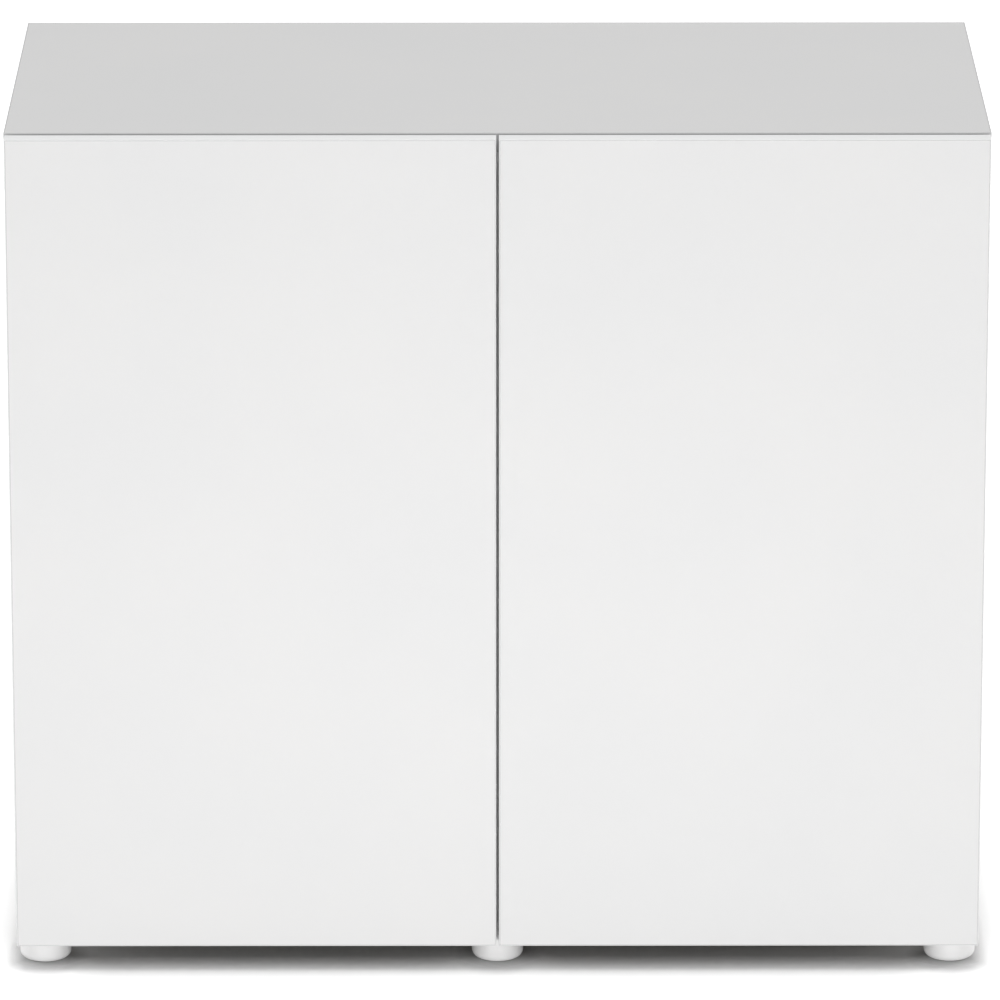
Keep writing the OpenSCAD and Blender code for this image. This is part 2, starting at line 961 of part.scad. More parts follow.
module right_hinge_pins() {
    color(zinc)
        on_side(true)
            hinge_places() hinge_pin();
}

// Doors

module door() {
    difference() {
        translate([-half_w + side_reveal, door_back_y - door_t, door_z0])
            eased_board(door_w, door_t, door_h);
        hinge_places() {
            in_door_plane()
                translate([cup_u, 0, -fit])
                    cylinder(d = cup_d, h = cup_depth + 2 * fit);
            cup_screw_places()
                countersunk(cup_screw_d, cup_screw_l, fit);
        }
        strike_place()
            countersunk(small_screw_d, small_screw_l, fit);
    }
}

module left_door() {
    color(white_board)
        door();
}

module right_door() {
    color(white_board)
        on_side(true) door();
}

// Push latches

// Places its children on the left strike plate's face, with +Z pointing to the plunger
module strike_place() {
    translate([latch_x, door_back_y + strike_t, latch_z])
        rotate([-90, 0, 0])
            children();
}

module strike_plate() {
    strike_place()
        difference() {
            translate([0, 0, -strike_t])
                cylinder(d = strike_d, h = strike_t);
            countersunk(small_screw_d, small_screw_l, fit);
        }
}

module left_strike_plate() {
    color(zinc)
        strike_plate();
}

module right_strike_plate() {
    color(zinc)
        on_side(true) strike_plate();
}

module left_strike_screw() {
    color(zinc)
        strike_place() countersunk(small_screw_d, small_screw_l);
}

module right_strike_screw() {
    color(zinc)
        on_side(true)
            strike_place() countersunk(small_screw_d, small_screw_l);
}

// Places the screws of the left latch on the divider, with +Z pointing into the divider
module latch_screw_places(deeper = 0) {
    for (dz = [-latch_ear_z, latch_ear_z])
        translate([-board_t / 2 + deeper, front_y + latch_setback + latch_l / 2, latch_z + dz])
            rotate([0, 90, 0])
                children();
}

// A housing with two screw ears, bored for the plunger, its collar and the spring
module latch_housing() {
    middle_y = front_y + latch_setback + latch_l / 2;
    difference() {
        union() {
            translate([-board_t / 2 - latch_w, front_y + latch_setback, latch_z + latch_w / 2])
                rotate([-90, 0, 0])
                    linear_extrude(latch_l)
                        rounded_rect(latch_w, latch_w, latch_r);
            translate([-board_t / 2 - latch_ear_t, middle_y, latch_z])
                rotate([90, 0, 90])
                    linear_extrude(latch_ear_t)
                        rotate(90) oblong(2 * latch_ear_z + latch_ear_w, latch_ear_w);
        }
        bar_y([latch_x, front_y + latch_setback - fit, latch_z],
              plunger_d + 2 * slide_fit, latch_nose + 2 * fit);
        bar_y([latch_x, front_y + chamber_v0, latch_z], chamber_d, chamber_v1 - chamber_v0);
        latch_screw_places(-latch_ear_t)
            rotate([180, 0, 0])
                countersunk(small_screw_d, small_screw_l, fit);
    }
}

module latch_housings() {
    color(black_plastic)
        for (right = [false, true])
            on_side(right) latch_housing();
}

module latch_screws() {
    color(zinc)
        for (right = [false, true])
            on_side(right)
                latch_screw_places(-latch_ear_t)
                    rotate([180, 0, 0])
                        countersunk(small_screw_d, small_screw_l);
}

// A plunger with a collar behind the housing's nose, and a seat for the magnet in its tip
module plunger() {
    difference() {
        union() {
            bar_y([latch_x, front_y + tip_v, latch_z], plunger_d, spring_v0 - tip_v);
            bar_y([latch_x, front_y + collar_v, latch_z], collar_d, collar_l);
        }
        bar_y([latch_x, front_y + tip_v - fit, latch_z], magnet_d + 2 * fit, magnet_l + 2 * fit);
    }
}

module left_plunger() {
    color(black_plastic)
        plunger();
}

module right_plunger() {
    color(black_plastic)
        on_side(true) plunger();
}

// A magnet in a plunger's tip, flush with it
module magnet() {
    bar_y([latch_x, front_y + tip_v, latch_z], magnet_d, magnet_l);
}

module left_magnet() {
    color(nickel)
        magnet();
}

module right_magnet() {
    color(nickel)
        on_side(true) magnet();
}

// The middle line of a coil along +Z
function coil_line(r, wire, l, turns) = [
    for (i = [0:turn_rings * turns])
        let (turn = 360 * i / turn_rings)
        [r * cos(turn), r * sin(turn), wire / 2 + (l - wire) * i / (turn_rings * turns)]
];

// The least gap from a coil's wire to itself, between points at least half a turn apart
function least_gap(line, wire) =
    min([
        for (i = [0:len(line) - 1], j = [i + turn_rings / 2:1:len(line) - 1])
            norm(line[i] - line[j])
    ]) - wire;

// A coil along +Z as one unbroken tube with 6 sides
module coil(r, wire, l, turns) {
    sides = 6;
    line = coil_line(r, wire, l, turns);
    rings = len(line) - 1;
    points = [
        for (p = line, j = [0:sides - 1])
            let (around = 360 * j / sides)
            p + wire / 2 * (cos(around) * [p.x, p.y, 0] / r + sin(around) * [0, 0, 1])
    ];
    walls = [
        for (i = [0:rings - 1], j = [0:sides - 1])
            let (
                a = i * sides + j,
                b = i * sides + (j + 1) % sides
            )
            each [[a, b, b + sides], [a, b + sides, a + sides]]
    ];
    first_end = [for (j = [1:sides - 2]) [0, j + 1, j]];
    last_end = [for (j = [1:sides - 2]) [rings * sides, rings * sides + j, rings * sides + j + 1]];
    polyhedron(points, concat(walls, first_end, last_end));
}

// The spring between the plunger and the end of its chamber
module latch_spring() {
    translate([latch_x, front_y + spring_v0, latch_z])
        rotate([-90, 0, 0])
            coil(spring_r, spring_wire, spring_l, spring_turns);
}

module left_latch_spring() {
    color(nickel)
        latch_spring();
}

module right_latch_spring() {
    color(nickel)
        on_side(true) latch_spring();
}

// Feet

module foot_inserts() {
    color(zinc)
        for (p = foot_places)
            translate([p.x, p.y, foot_h])
                difference() {
                    cylinder(d = insert_d, h = insert_l);
                    translate([0, 0, -fit])
                        cylinder(d = stud_d + 2 * slide_fit, h = insert_l + 2 * fit);
                }
}

// A round foot with its stud, which screws up into the bottom panel
module foot(x, y) {
    color(white_plastic)
        translate([x, y, 0])
            rotate_extrude() {
                translate([0, foot_r])
                    square([foot_d / 2, foot_h - foot_r]);
                square([foot_d / 2 - foot_r, foot_r]);
                intersection() {
                    translate([foot_d / 2 - foot_r, foot_r])
                        circle(r = foot_r);
                    square([foot_d / 2, foot_r]);
                }
                square([stud_d / 2, foot_h + stud_l]);
            }
}

module front_left_foot() {
    foot(-foot_x, foot_front_y);
}

module front_centre_foot() {
    foot(0, foot_front_y);
}

module front_right_foot() {
    foot(foot_x, foot_front_y);
}

module rear_left_foot() {
    foot(-foot_x, foot_rear_y);
}

module rear_centre_foot() {
    foot(0, foot_rear_y);
}

module rear_right_foot() {
    foot(foot_x, foot_rear_y);
}

// The least gap between the turns of a latch spring at rest
echo(spring_gap_mm = least_gap(coil_line(spring_r, spring_wire, spring_l, spring_turns), spring_wire));

top_panel();
bottom_panel();
left_side();
right_side();
centre_divider();
left_back_panel();
right_back_panel();
left_port_trim();
right_port_trim();
back_screws();
left_shelf();
right_shelf();
shelf_pins();
cam_locks();
cam_bolts();
dowels();
hinge_plates();
plate_screws();
hinge_arms();
arm_screws();
latch_housings();
latch_screws();
left_latch_spring();
right_latch_spring();
foot_inserts();
left_door();
left_hinge_cups();
left_cup_screws();
left_hinge_pins();
left_strike_plate();
left_strike_screw();
left_plunger();
left_magnet();
right_door();
right_hinge_cups();
right_cup_screws();
right_hinge_pins();
right_strike_plate();
right_strike_screw();
right_plunger();
right_magnet();
front_left_foot();
front_centre_foot();
front_right_foot();
rear_left_foot();
rear_centre_foot();
rear_right_foot();
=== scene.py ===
# %% [markdown]
# # Dressing an aquarium stand cabinet
# The cabinet's construction is finished before this lesson starts: boards, concealed hinges,
# push latches and screw feet, all in metres and in one frame. Here the frame is loaded and
# kept fixed. What Blender adds is the light, the finishes, and the small forms that a
# construction model leaves out, such as cross recesses, threads and softened metal edges.

# %% Load the frame
import bpy
import bmesh
import json
import math
from mathutils import Matrix, Vector


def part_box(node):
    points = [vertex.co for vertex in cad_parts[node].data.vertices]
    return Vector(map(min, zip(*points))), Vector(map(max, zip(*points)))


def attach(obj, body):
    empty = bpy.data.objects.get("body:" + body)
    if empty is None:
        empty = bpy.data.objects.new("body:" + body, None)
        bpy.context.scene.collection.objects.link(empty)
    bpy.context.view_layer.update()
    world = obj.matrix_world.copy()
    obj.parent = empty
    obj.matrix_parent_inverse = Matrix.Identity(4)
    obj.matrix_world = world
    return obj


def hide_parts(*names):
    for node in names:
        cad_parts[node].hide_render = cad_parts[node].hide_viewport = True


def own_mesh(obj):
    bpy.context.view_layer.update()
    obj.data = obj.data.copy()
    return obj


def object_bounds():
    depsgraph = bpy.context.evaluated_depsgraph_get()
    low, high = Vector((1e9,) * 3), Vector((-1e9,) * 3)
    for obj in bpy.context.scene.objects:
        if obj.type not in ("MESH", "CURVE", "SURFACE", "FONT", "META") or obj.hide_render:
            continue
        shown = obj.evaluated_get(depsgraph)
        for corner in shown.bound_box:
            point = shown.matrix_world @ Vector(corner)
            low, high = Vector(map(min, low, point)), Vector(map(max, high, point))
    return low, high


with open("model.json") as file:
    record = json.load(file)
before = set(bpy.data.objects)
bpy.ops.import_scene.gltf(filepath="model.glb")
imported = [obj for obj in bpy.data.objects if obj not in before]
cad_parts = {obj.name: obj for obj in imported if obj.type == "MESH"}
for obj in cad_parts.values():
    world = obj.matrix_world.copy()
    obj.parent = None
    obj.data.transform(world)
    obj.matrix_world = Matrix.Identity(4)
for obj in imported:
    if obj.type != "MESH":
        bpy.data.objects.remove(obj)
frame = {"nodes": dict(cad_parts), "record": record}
scene = bpy.context.scene
cad_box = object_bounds()

# %% [markdown]
# ## Camera
# The picture is taken from the front, a little above the top and almost in the middle. Its
# upright edges run nearly parallel. A lens that is shifted downwards would give that too, but
# it would push the cabinet out of every other view. A lens of 306 mm at nearly 8 m comes close
# without any shift, so all views stay centred.

# %% Place the camera
camera_data = bpy.data.cameras.new("picture_camera")
camera_data.lens = 306
camera_data.sensor_width = 36
camera_data.clip_end = 100
camera = bpy.data.objects.new("picture_camera", camera_data)
scene.collection.objects.link(camera)
scene.camera = camera

pitch = math.radians(16.15)
yaw = math.radians(-0.146)
aim = Vector((-math.sin(yaw) * math.cos(pitch), math.cos(yaw) * math.cos(pitch), -math.sin(pitch)))
camera.location = (-0.0169, -7.738, 2.6309)
camera.rotation_euler = aim.to_track_quat("-Z", "Y").to_euler()
print("camera: looks down by", round(math.degrees(pitch), 1), "degrees")

# %% [markdown]
# ## Adding nodes with little typing
# Finishes, the world and the geometry trees are all made of nodes. They could be drawn by hand
# in the node editor, but a script can be run again. One shorthand adds a node, sets it up and
# joins its inputs. An input may be given by name or by number: the Mix node has several inputs
# with the same name, so there the number says which one is meant.


# %% A shorthand for nodes
def node_adder(tree):
    """Returns a function that adds a node to this tree, sets it up and joins its inputs."""

    def add(kind, inputs=None, **settings):
        node = tree.nodes.new(kind)
        for key, value in settings.items():
            setattr(node, key, value)
        for key, value in (inputs or {}).items():
            if isinstance(value, bpy.types.NodeSocket):
                tree.links.new(value, node.inputs[key])
            else:
                node.inputs[key].default_value = value
        return node

    return add


def maths(add, operation, *values):
    """The result of a Math node on these values, as an output socket."""
    return add("ShaderNodeMath", dict(enumerate(values)), operation=operation).outputs[0]


def vectors(add, operation, *values):
    """The result of a Vector Math node, as a vector or, for a length, as a number."""
    node = add("ShaderNodeVectorMath", dict(enumerate(values)), operation=operation)
    return node.outputs["Value" if operation in ("LENGTH", "DISTANCE") else "Vector"]


def mixed(add, factor, a, b):
    """The colour between a and b, as an output socket."""
    return add("ShaderNodeMix", {0: factor, 6: a, 7: b}, data_type="RGBA").outputs[2]


def ramp(add, value, low, high, to_low=0.0, to_high=1.0):
    """Maps a value that runs from low to high, and stops at the ends."""
    node = add("ShaderNodeMapRange", {"Value": value, "From Min": low, "From Max": high,
                                      "To Min": to_low, "To Max": to_high})
    return node.outputs["Result"]


def grey(value, warm=0.0):
    """A grey of that brightness, a little warmer or cooler."""
    return (value * (1 + warm), value, value * (1 - warm), 1)


print("a white of 0.85 is written as", grey(0.85))

# %% [markdown]
# ## Room
# The cabinet stands in an even white studio. A pale room lights it from all sides. A brighter
# one would make the background white, but it would also flood the cabinet with light. So only
# what the camera, a mirror or a glass sees directly is full white.


# %% White studio
def seen_directly(add):
    """1 for rays from the camera, and for what mirrors or glass show."""
    ray = add("ShaderNodeLightPath").outputs
    camera_or_gloss = maths(add, "MAXIMUM", ray["Is Camera Ray"], ray["Is Glossy Ray"])
    return maths(add, "MAXIMUM", camera_or_gloss, ray["Is Transmission Ray"])


world = bpy.data.worlds.new("white_studio")
world.use_nodes = True
world.node_tree.nodes.clear()
add = node_adder(world.node_tree)
room = add("ShaderNodeBackground", {"Color": grey(1), "Strength": 0.5}).outputs[0]
backdrop = add("ShaderNodeBackground", {"Color": grey(1), "Strength": 1.0}).outputs[0]
room_mix = add("ShaderNodeMixShader", {0: seen_directly(add), 1: room, 2: backdrop})
add("ShaderNodeOutputWorld", {"Surface": room_mix.outputs[0]})
scene.world = world
scene.view_settings.view_transform = "Standard"
print("room:", len(world.node_tree.nodes), "nodes")

# %% [markdown]
# ## Lamps
# A softbox overhead lights the top and the floor, and a long one in front, close to the floor,
# reaches the doors. A thin strip on the floor adds a little for the low feet. Lamps higher up
# would light the doors as well, but these are so low that they hardly touch the floor, so the
# dark band under the cabinet stays. Two more stand behind, for the back and the sides.


# %% Softboxes
def softbox(name, at, target, width, height, power):
    """A soft rectangular lamp that looks at a target."""
    data = bpy.data.lights.new(name, "AREA")
    data.shape = "RECTANGLE"
    data.size = width
    data.size_y = height
    data.energy = power
    lamp = bpy.data.objects.new(name, data)
    lamp.location = at
    lamp.rotation_euler = (Vector(target) - Vector(at)).to_track_quat("-Z", "Y").to_euler()
    lamp.visible_camera = False
    scene.collection.objects.link(lamp)
    return lamp


lamps = [
    softbox("front_softbox", (0, -3.2, 0.12), (0, 0, 0.25), 4.0, 0.2, 33.0),
    softbox("floor_strip", (0, -1.2, 0.03), (0, 0, 0.05), 1.6, 0.05, 1.2),
    softbox("overhead_softbox", (0, -0.5, 4.0), (0, 0, 0.6), 3.0, 2.5, 46),
    softbox("rear_left_softbox", (-4.8, 2.6, 1.0), (0, 0, 0.4), 2.0, 1.6, 100),
    softbox("rear_right_softbox", (4.8, 2.6, 1.0), (0, 0, 0.4), 2.0, 1.6, 100),
]
print("lamps:", {lamp.name: lamp.data.energy for lamp in lamps})

# %% [markdown]
# ## Floor
# The floor is one flat sheet of pale card. A sheet that curves up behind would hide where the
# floor ends, but from the other sides it would stand in the way. So a flat one simply reaches
# far, and lies a hair below the feet. It is stage, not a part of the cabinet.

# %% Floor sheet
reach = 20
drop = -0.0002
floor_corners = [(x * reach, y * reach, drop) for x, y in [(-1, -1), (1, -1), (1, 1), (-1, 1)]]
floor_mesh = bpy.data.meshes.new("studio_floor")
floor_mesh.from_pydata(floor_corners, [], [(0, 1, 2, 3)])
floor = bpy.data.objects.new("studio_floor", floor_mesh)
scene.collection.objects.link(floor)
print("floor:", 2 * reach, "m wide")

# %% [markdown]
# ## Floor finish
# More light would turn the floor white, and the cabinet with it. So the floor has one grey for
# the light that it throws back, and another as the camera sees it: darkened under the cabinet,
# a painted shade, and brighter further out, so that it is white where it is lit and still shows
# every shadow. White feet throw so much light on the floor that their own shade would be lost,
# so a painted shade darkens it round each foot too, less far to the sides than to the front.


# %% Pale floor
def foot_spot(node):
    """The point on the floor under the middle of a foot."""
    low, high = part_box(node)
    return Vector(((low.x + high.x) / 2, (low.y + high.y) / 2, low.z))


floor_finish = bpy.data.materials.new("pale_floor")
floor_finish.use_nodes = True
floor_finish.node_tree.nodes.clear()
add = node_adder(floor_finish.node_tree)
coords = add("ShaderNodeTexCoord").outputs["Object"]

# Painted shade: under the cabinet the floor as the camera sees it is darkened to this tone.
under_cabinet_painted_shade = 0.85
open_tone = 1.5
far_tone = 0.5
past_box = vectors(add, "SUBTRACT", vectors(add, "ABSOLUTE", coords), cad_box[1])
past = add("ShaderNodeSeparateXYZ", {0: past_box}).outputs
beside = ramp(add, past["X"], -0.015, 0.01, under_cabinet_painted_shade, open_tone)
before = ramp(add, past["Y"], -0.045, -0.015, under_cabinet_painted_shade, open_tone)
far = ramp(add, vectors(add, "LENGTH", coords), 0.7, 2.7, 0, far_tone)
open_floor = maths(add, "ADD", maths(add, "MAXIMUM", beside, before), far)

# Painted shade: near each foot the floor as the camera sees it is darkened, down to this tone.
shade_starts = 0.022
shade_ends = 0.062
painted_shade_tone = 0.45
narrowing = Vector((1.5, 1, 1))
feet = [node for node in sorted(frame["nodes"]) if node.endswith("_foot")]
narrowed = vectors(add, "MULTIPLY", coords, narrowing)
to_feet = [vectors(add, "DISTANCE", narrowed, foot_spot(node) * narrowing) for node in feet]
nearest = to_feet[0]
for to_foot in to_feet[1:]:
    nearest = maths(add, "MINIMUM", nearest, to_foot)
painted_foot_shade = ramp(add, nearest, shade_starts, shade_ends, painted_shade_tone, 1.0)

seen_tone = maths(add, "MULTIPLY", open_floor, painted_foot_shade)
lit = add("ShaderNodeBsdfDiffuse", {"Color": grey(0.8)}).outputs[0]
shown = add("ShaderNodeBsdfDiffuse", {"Color": seen_tone}).outputs[0]
floor_mix = add("ShaderNodeMixShader", {0: seen_directly(add), 1: lit, 2: shown})
add("ShaderNodeOutputMaterial", {"Surface": floor_mix.outputs[0]})
floor_mesh.materials.append(floor_finish)
print("floor finish: a shade round each of", len(feet), "feet")

# %% [markdown]
# ## What every finish needs
# A finish is a material whose colour, gloss and grain come from patterns. Painted pictures would
# need every piece to be unwrapped first. Patterns that read Object coordinates need nothing of
# the kind, keep their scale in metres, and stay on their piece when it moves.


# %% Tools for finishes
def new_finish(name):
    """A material, its shader, the shorthand that adds nodes to it, and the place on the piece."""
    material = bpy.data.materials.new(name)
    material.use_nodes = True
    add = node_adder(material.node_tree)
    coords = add("ShaderNodeTexCoord").outputs["Object"]
    return material, material.node_tree.nodes["Principled BSDF"], add, coords


def join(shader, label, socket):
    """Joins a socket to the shader's input of that name."""
    shader.id_data.links.new(socket, shader.inputs[label])


def emboss(add, shader, height, strength, distance):
    """Gives the shader a bump from a height."""
    bump = add("ShaderNodeBump", {"Height": height, "Strength": strength, "Distance": distance})
    join(shader, "Normal", bump.outputs[0])


def noise(add, coords, scale, detail=2.0):
    """A soft random pattern, finer with a larger scale."""
    return add("ShaderNodeTexNoise", {"Vector": coords, "Scale": scale, "Detail": detail}).outputs[0]


def dress(node, material):
    """Gives a node of the construction its finish."""
    for slot in frame["nodes"][node].material_slots:
        slot.material = material


print("nodes to dress:", len(frame["nodes"]))

# %% [markdown]
# ## Chipboard core
# Inside, a board is wood chips pressed with glue, and every bore and rebate shows them. Wood
# grain would be wrong here, because the chips lie all ways. So the cells of a Voronoi pattern
# stand for chips of different brown, and a fine noise for the dark gaps between them.

# %% Chips
dark_chip = (0.46, 0.31, 0.17, 1)
pale_chip = (0.66, 0.49, 0.30, 1)
chip_gap = (0.33, 0.21, 0.11, 1)


def chip_colour(add, coords):
    """The brown of pressed chips, as an output socket."""
    flakes = add("ShaderNodeTexVoronoi", {"Vector": coords, "Scale": 420.0}).outputs["Color"]
    dust = noise(add, coords, 1500)
    chips = mixed(add, flakes, dark_chip, pale_chip)
    return mixed(add, ramp(add, dust, 0.45, 0.7), chips, chip_gap)


print("chips from", dark_chip[:3], "to", pale_chip[:3])

# %% [markdown]
# ## Laminate and edge tape
# The boards are faced with laminate, and a strip of edge tape, 1 mm thick, closes each edge. Its
# joint is a fine line round every face. Each face could have a material of its own, but one
# measure does it all: how deep a point lies inside the board's own box. The laminate lies on the
# box, the tape within 1 mm of its outline, and whatever lies deeper is bare core.

# %% Laminate on chipboard
laminate_ends = 0.00034
core_starts = 0.00042
tape_ends = 0.0010
face_starts = 0.0012
joint_middle = 0.0011
joint_half = 0.00025
painted_underside_ends = 0.0001
edge_starts = 0.0003


def board_finish(node, face, tape_tone, painted_underside=None):
    """Laminate with taped edges for one board, and bare chipboard in its cuts.
    A colour for the underside is a painted shade, a dark sheet that keeps the band below dark."""
    low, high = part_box(node)
    size = high - low
    thin = min(range(3), key=lambda axis: size[axis])
    material, shader, add, coords = new_finish(node + "_laminate")
    from_low = vectors(add, "SUBTRACT", coords, low)
    from_high = vectors(add, "SUBTRACT", high, coords)
    inside = add("ShaderNodeSeparateXYZ", {0: vectors(add, "MINIMUM", from_low, from_high)}).outputs
    outline = maths(add, "MINIMUM", *[inside[axis] for axis in range(3) if axis != thin])
    core = ramp(add, maths(add, "MINIMUM", outline, inside[thin]), laminate_ends, core_starts)
    tape = ramp(add, outline, tape_ends, face_starts, 1, 0)
    joint = maths(add, "COMPARE", outline, joint_middle, joint_half)

    cloud = noise(add, coords, 5, 3)
    pearl = noise(add, coords, 900, 1)
    colour = mixed(add, ramp(add, cloud, 0.35, 0.65), grey(face, 0.004), grey(face * 0.988))
    colour = mixed(add, tape, colour, grey(tape_tone, -0.003))
    colour = mixed(add, joint, colour, grey(face * 0.70))
    # Painted shade: the underside gets a dark colour, so that the band under the cabinet stays dark.
    if painted_underside:
        height = add("ShaderNodeSeparateXYZ", {0: from_low}).outputs["Z"]
        colour = mixed(add, ramp(add, height, painted_underside_ends, edge_starts, 1, 0), colour, painted_underside)
    join(shader, "Base Color", mixed(add, core, colour, chip_colour(add, coords)))

    satin = ramp(add, pearl, 0.3, 0.7, 0.40, 0.50)
    join(shader, "Roughness", maths(add, "MAXIMUM", satin, core))
    emboss(add, shader, pearl, 0.10, 0.0002)
    return material


print("tape:", 1000 * tape_ends, "mm thick")

# %% [markdown]
# ## Boards
# All boards are white but the top, which is grey. The white tape is a little whiter than the
# faces, so a door's top edge shows as a pale strip. The underside of the bottom panel is a dark
# painted shade, which keeps the band under the cabinet dark. One white for all would need one
# material only, but the tape follows each board's own box, so each board gets its own.

# %% Dressed boards
white = 0.80
white_tape = 0.86
top_grey = 0.655
top_tape = 0.64
underside_painted_shade = (0.22, 0.20, 0.18, 1)
white_boards = ["left_side", "right_side", "centre_divider", "left_shelf", "right_shelf",
                "left_back_panel", "right_back_panel", "left_door", "right_door"]
for node in white_boards:
    dress(node, board_finish(node, white, white_tape))
dress("bottom_panel", board_finish("bottom_panel", white, white_tape, underside_painted_shade))
dress("top_panel", board_finish("top_panel", top_grey, top_tape))
print("boards:", len(white_boards) + 1, "white and one grey")

# %% [markdown]
# ## Plastics
# The feet are white and the port trims and latches black. Moulded plastic has a fine grained
# skin from its mould and a soft, uneven gloss. Modelling the grain would take millions of
# faces, so small cells make a bump of it, and a slow noise spreads the gloss over a narrow
# band of roughness.


# %% Moulded plastic
def plastic_finish(name, pale, dark, gloss, grain, depth):
    """Plastic between two tones, with a grain of that scale and depth."""
    material, shader, add, coords = new_finish(name)
    skin = add("ShaderNodeTexVoronoi", {"Vector": coords, "Scale": grain}).outputs["Distance"]
    flow = noise(add, coords, 60, 3)
    join(shader, "Base Color", mixed(add, ramp(add, flow, 0.35, 0.65), pale, dark))
    join(shader, "Roughness", ramp(add, flow, 0.3, 0.7, gloss, gloss + 0.12))
    emboss(add, shader, skin, depth, 0.0002)
    return material


foot_plastic = plastic_finish("foot_plastic", grey(0.95, 0.003), grey(0.93, 0.003), 0.32, 1500, 0.12)
dark_plastic = plastic_finish("dark_plastic", grey(0.030), grey(0.022), 0.42, 1200, 0.35)
print("plastics:", foot_plastic.name, "and", dark_plastic.name)

# %% [markdown]
# ## Metals
# Hinges are pressed from steel and plated with nickel, which is smooth and a little warm, with
# faint drawing lines along the strip. Screws, cams and inserts are zinc plated, cooler and
# duller, with cloudy patches. A plain grey would look like paint. Both are full metals here, so
# their look is mostly what they mirror and how rough they are, and one function makes both.


# %% Plated steel
def plated_finish(name, colour, gloss, stretch, scale, unevenness):
    """Plating with lines along an axis: stretch is large across the lines and small along them.
    A smooth plating has an unevenness near 0.3, and a cloudy one near 1."""
    material, shader, add, coords = new_finish(name)
    drawn = add("ShaderNodeMapping", {"Vector": coords, "Scale": stretch}).outputs[0]
    lines = noise(add, drawn, scale, 3)
    patches = noise(add, coords, 150, 2)
    pale = tuple(channel * (1 + 0.08 * unevenness) for channel in colour) + (1,)
    dull = tuple(channel * (1 - 0.10 * unevenness) for channel in colour) + (1,)
    join(shader, "Base Color", mixed(add, ramp(add, patches, 0.3, 0.7), pale, dull))
    join(shader, "Roughness", ramp(add, lines, 0.3, 0.7, gloss, gloss + 0.14 * unevenness))
    emboss(add, shader, lines, 0.06 * unevenness, 0.0001)
    shader.inputs["Metallic"].default_value = 1.0
    return material


nickel = plated_finish("nickel_plate", (0.66, 0.64, 0.61), 0.22, (1, 0.03, 1), 2600, 0.35)
zinc = plated_finish("zinc_plate", (0.56, 0.58, 0.60), 0.30, (1, 1, 1), 500, 1.0)
print("metals:", nickel.name, "and", zinc.name)

# %% [markdown]
# ## Beech
# The dowels are turned from beech, whose grain runs along them, upright here. A wave pattern
# would give rings, which a thin dowel hardly shows. So a noise that is stretched along Z gives
# the long fibres, and short dark flecks show the rays of the wood.

# %% Dowel wood
pale_fibre = (0.62, 0.41, 0.23, 1)
dark_fibre = (0.50, 0.31, 0.16, 1)
fleck = (0.34, 0.19, 0.09, 1)
beech, shader, add, coords = new_finish("beech_wood")
along = add("ShaderNodeMapping", {"Vector": coords, "Scale": (1, 1, 0.06)}).outputs[0]
fibres = noise(add, along, 700, 4)
flecks = ramp(add, noise(add, along, 1800, 2), 0.62, 0.72)
wood = mixed(add, ramp(add, fibres, 0.3, 0.7), pale_fibre, dark_fibre)
join(shader, "Base Color", mixed(add, flecks, wood, fleck))
join(shader, "Roughness", ramp(add, fibres, 0.3, 0.7, 0.55, 0.70))

dress("dowels", beech)
for node in ["cam_bolts", "foot_inserts"]:
    dress(node, zinc)
for node in ["left_hinge_pins", "right_hinge_pins"]:
    dress(node, nickel)
print("hidden fittings: dowels, bolts, inserts and pins")

# %% [markdown]
# ## Putting a piece in its place
# What Blender makes stands for a node of the construction and moves with the same body. A piece
# could be parented by hand, but then each would need its own lines. One function links it, lets
# it ride, gives it its finish and hides the node. Its mesh is plain data, with smooth shading that
# stops at the edges which turn by more than 35 degrees.

# %% Tools for pieces
crease = math.radians(35)
merge_gap = 1e-6


def shown_mesh(piece):
    """The piece's mesh with its modifiers worked in, as plain data."""
    depsgraph = bpy.context.evaluated_depsgraph_get()
    return bpy.data.meshes.new_from_object(piece.evaluated_get(depsgraph))


def soften(mesh):
    """Smooth shading, with edges kept sharp where the surface turns by more than the crease."""
    mesh.shade_smooth()
    mesh.set_sharp_from_angle(angle=crease)


def merged(node):
    """A working copy of a node's mesh with its loose triangles joined."""
    work = bmesh.new()
    work.from_mesh(frame["nodes"][node].data)
    bmesh.ops.remove_doubles(work, verts=work.verts, dist=merge_gap)
    return work


def place(name, node, mesh, material):
    """Puts a finished mesh into the scene, on its node's body and in place of the node."""
    bodies = frame["record"]["behaviour"]["bodies"]
    mesh.materials.clear()
    mesh.materials.append(material)
    piece = bpy.data.objects.new(name, mesh)
    scene.collection.objects.link(piece)
    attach(piece, next(body for body in bodies if node in bodies[body]))
    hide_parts(node)
    return piece


print("smooth up to", round(math.degrees(crease)), "degrees")

# %% [markdown]
# ## Softened edges
# Pressed metal and moulded plastic have no knife edges: a narrow round along every edge catches
# the light. The construction model keeps these edges sharp. A bevel in the shader would fake
# the round, but the exported mesh would still be sharp. So each of these pieces is copied, its
# triangles are merged into whole faces, and a Bevel modifier rounds the sharp edges. A Weld
# closes the slivers that it leaves where edges meet. Nothing grows, because a bevel only takes
# away.

# %% Eased copies
flat_angle = math.radians(0.5)
sliver = 1e-5


def eased(node, width, material):
    """A copy of a node with every sharp edge rounded by that width."""
    work = merged(node)
    bmesh.ops.dissolve_limit(work, angle_limit=flat_angle, verts=work.verts, edges=work.edges)
    whole = bpy.data.meshes.new(node + "_merged")
    work.to_mesh(whole)
    work.free()
    draft = bpy.data.objects.new(node + "_draft", whole)
    scene.collection.objects.link(draft)
    bevel = draft.modifiers.new("edge_round", "BEVEL")
    bevel.width = width
    bevel.segments = 2
    bevel.limit_method = "ANGLE"
    bevel.angle_limit = crease
    weld = draft.modifiers.new("sliver_weld", "WELD")
    weld.merge_threshold = sliver
    mesh = shown_mesh(draft)
    bpy.data.objects.remove(draft)
    soften(mesh)
    return place(node + "_eased", node, mesh, material)


